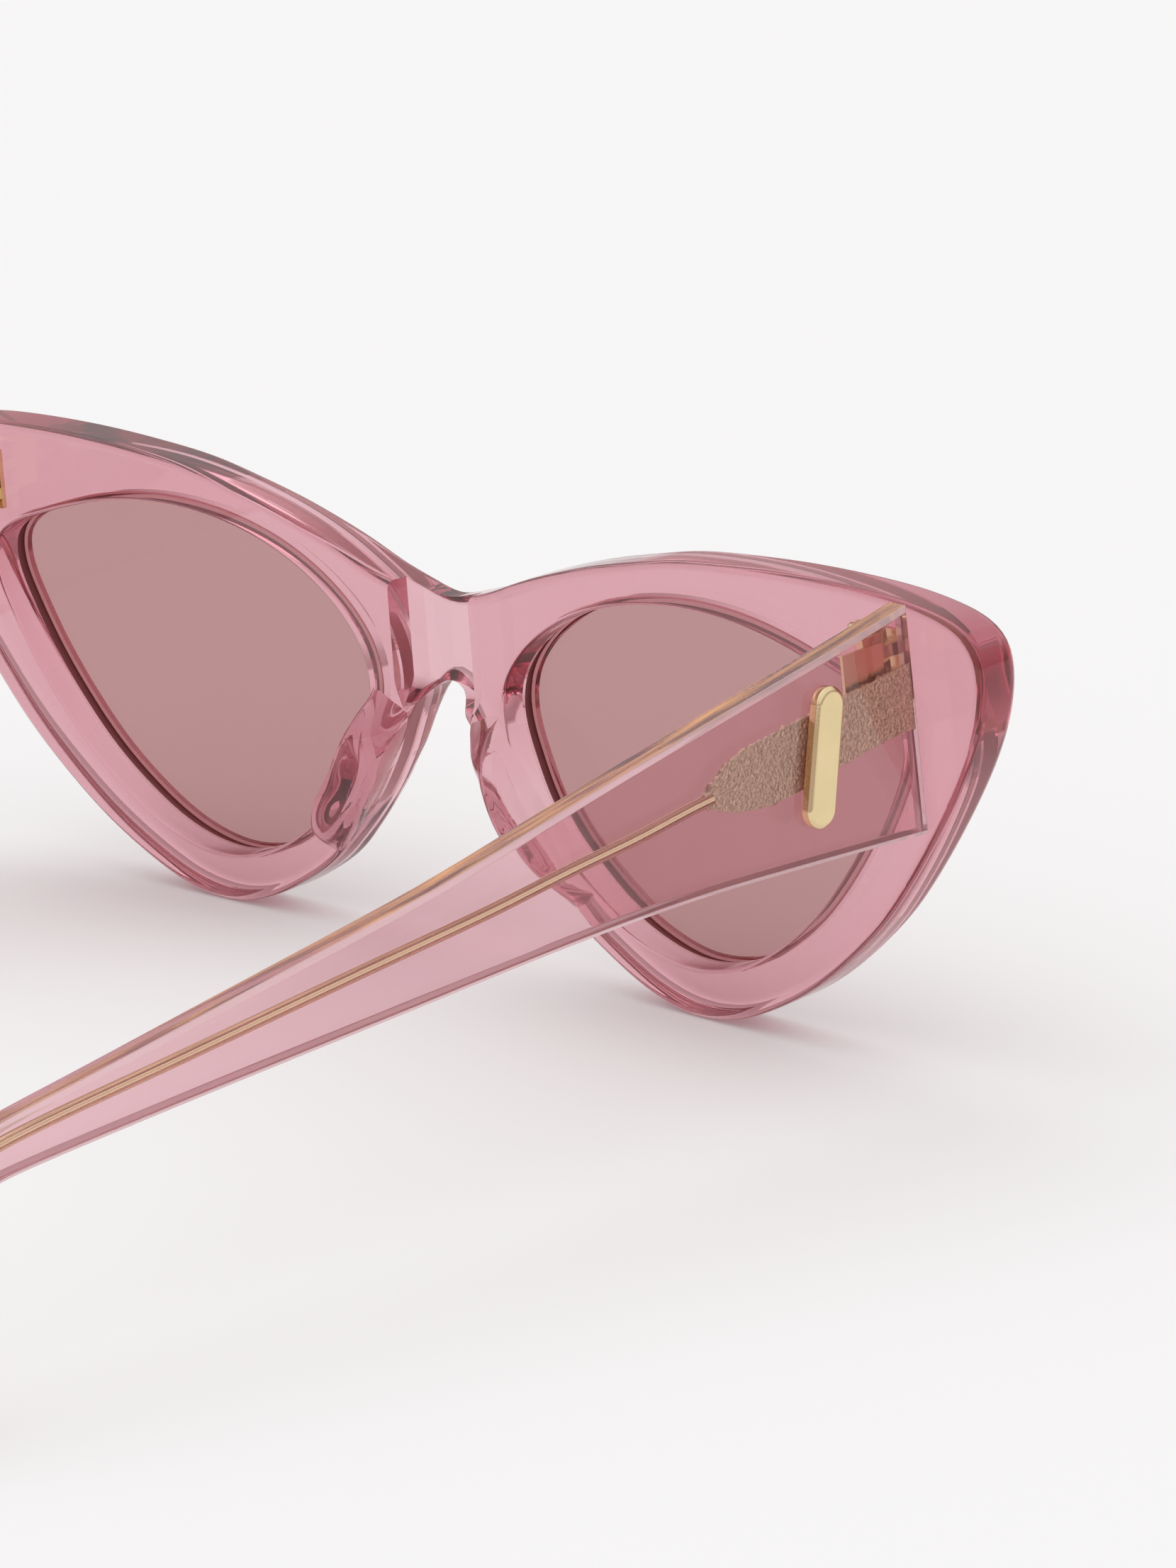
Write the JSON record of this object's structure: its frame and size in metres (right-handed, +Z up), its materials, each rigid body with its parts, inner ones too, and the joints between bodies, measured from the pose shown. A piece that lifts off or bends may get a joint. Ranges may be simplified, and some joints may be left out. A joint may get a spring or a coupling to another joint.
{
  "type": "cat eye sunglasses",
  "caption": "Cat eye sunglasses: a thick translucent pink acetate front with swept-up corners, tinted lenses and bonded nose pads, and wide tapering temples that fold on barrel hinges",
  "frame": {"origin": "middle of the bounding box, on the surface that the rims and temple tips stand on", "axes": "+Y runs back from the front to the temple tips, +X to the wearer's left, +Z up"},
  "size_m": [0.142, 0.1414, 0.0445],
  "materials": {
    "acetate_pink": "polished clear pink acetate",
    "lens_tint": "tinted lens",
    "gold_metal": "polished gold plate",
    "gold_stippled": "stippled gold plate"
  },
  "bodies": {
    "front": {"front_frame": "acetate_pink", "lens_left": "lens_tint", "lens_right": "lens_tint", "nose_pad_left": "acetate_pink", "nose_pad_right": "acetate_pink", "hinge_leaf_left": "gold_metal", "hinge_leaf_right": "gold_metal", "hinge_screw_left": "gold_metal", "hinge_screw_right": "gold_metal"},
    "temple_arm_right": {"temple_right": "acetate_pink", "core_wire_right": "gold_stippled", "temple_leaf_right": "gold_metal", "temple_bar_right": "gold_metal"},
    "temple_arm_left": {"temple_left": "acetate_pink", "core_wire_left": "gold_stippled", "temple_leaf_left": "gold_metal", "temple_bar_left": "gold_metal"}
  },
  "joints": [
    {"name": "fold_right", "type": "hinge", "parent": "front", "child": "temple_arm_right", "pos_m": [-0.05879, -0.06, 0.03818], "axis": [-0.1045, -0.0581, -0.9928], "range_deg": [0, 90]},
    {"name": "fold_left", "type": "hinge", "parent": "front", "child": "temple_arm_left", "pos_m": [0.05879, -0.06, 0.03818], "axis": [-0.1045, 0.0581, 0.9928], "range_deg": [0, 82]}
  ]
}
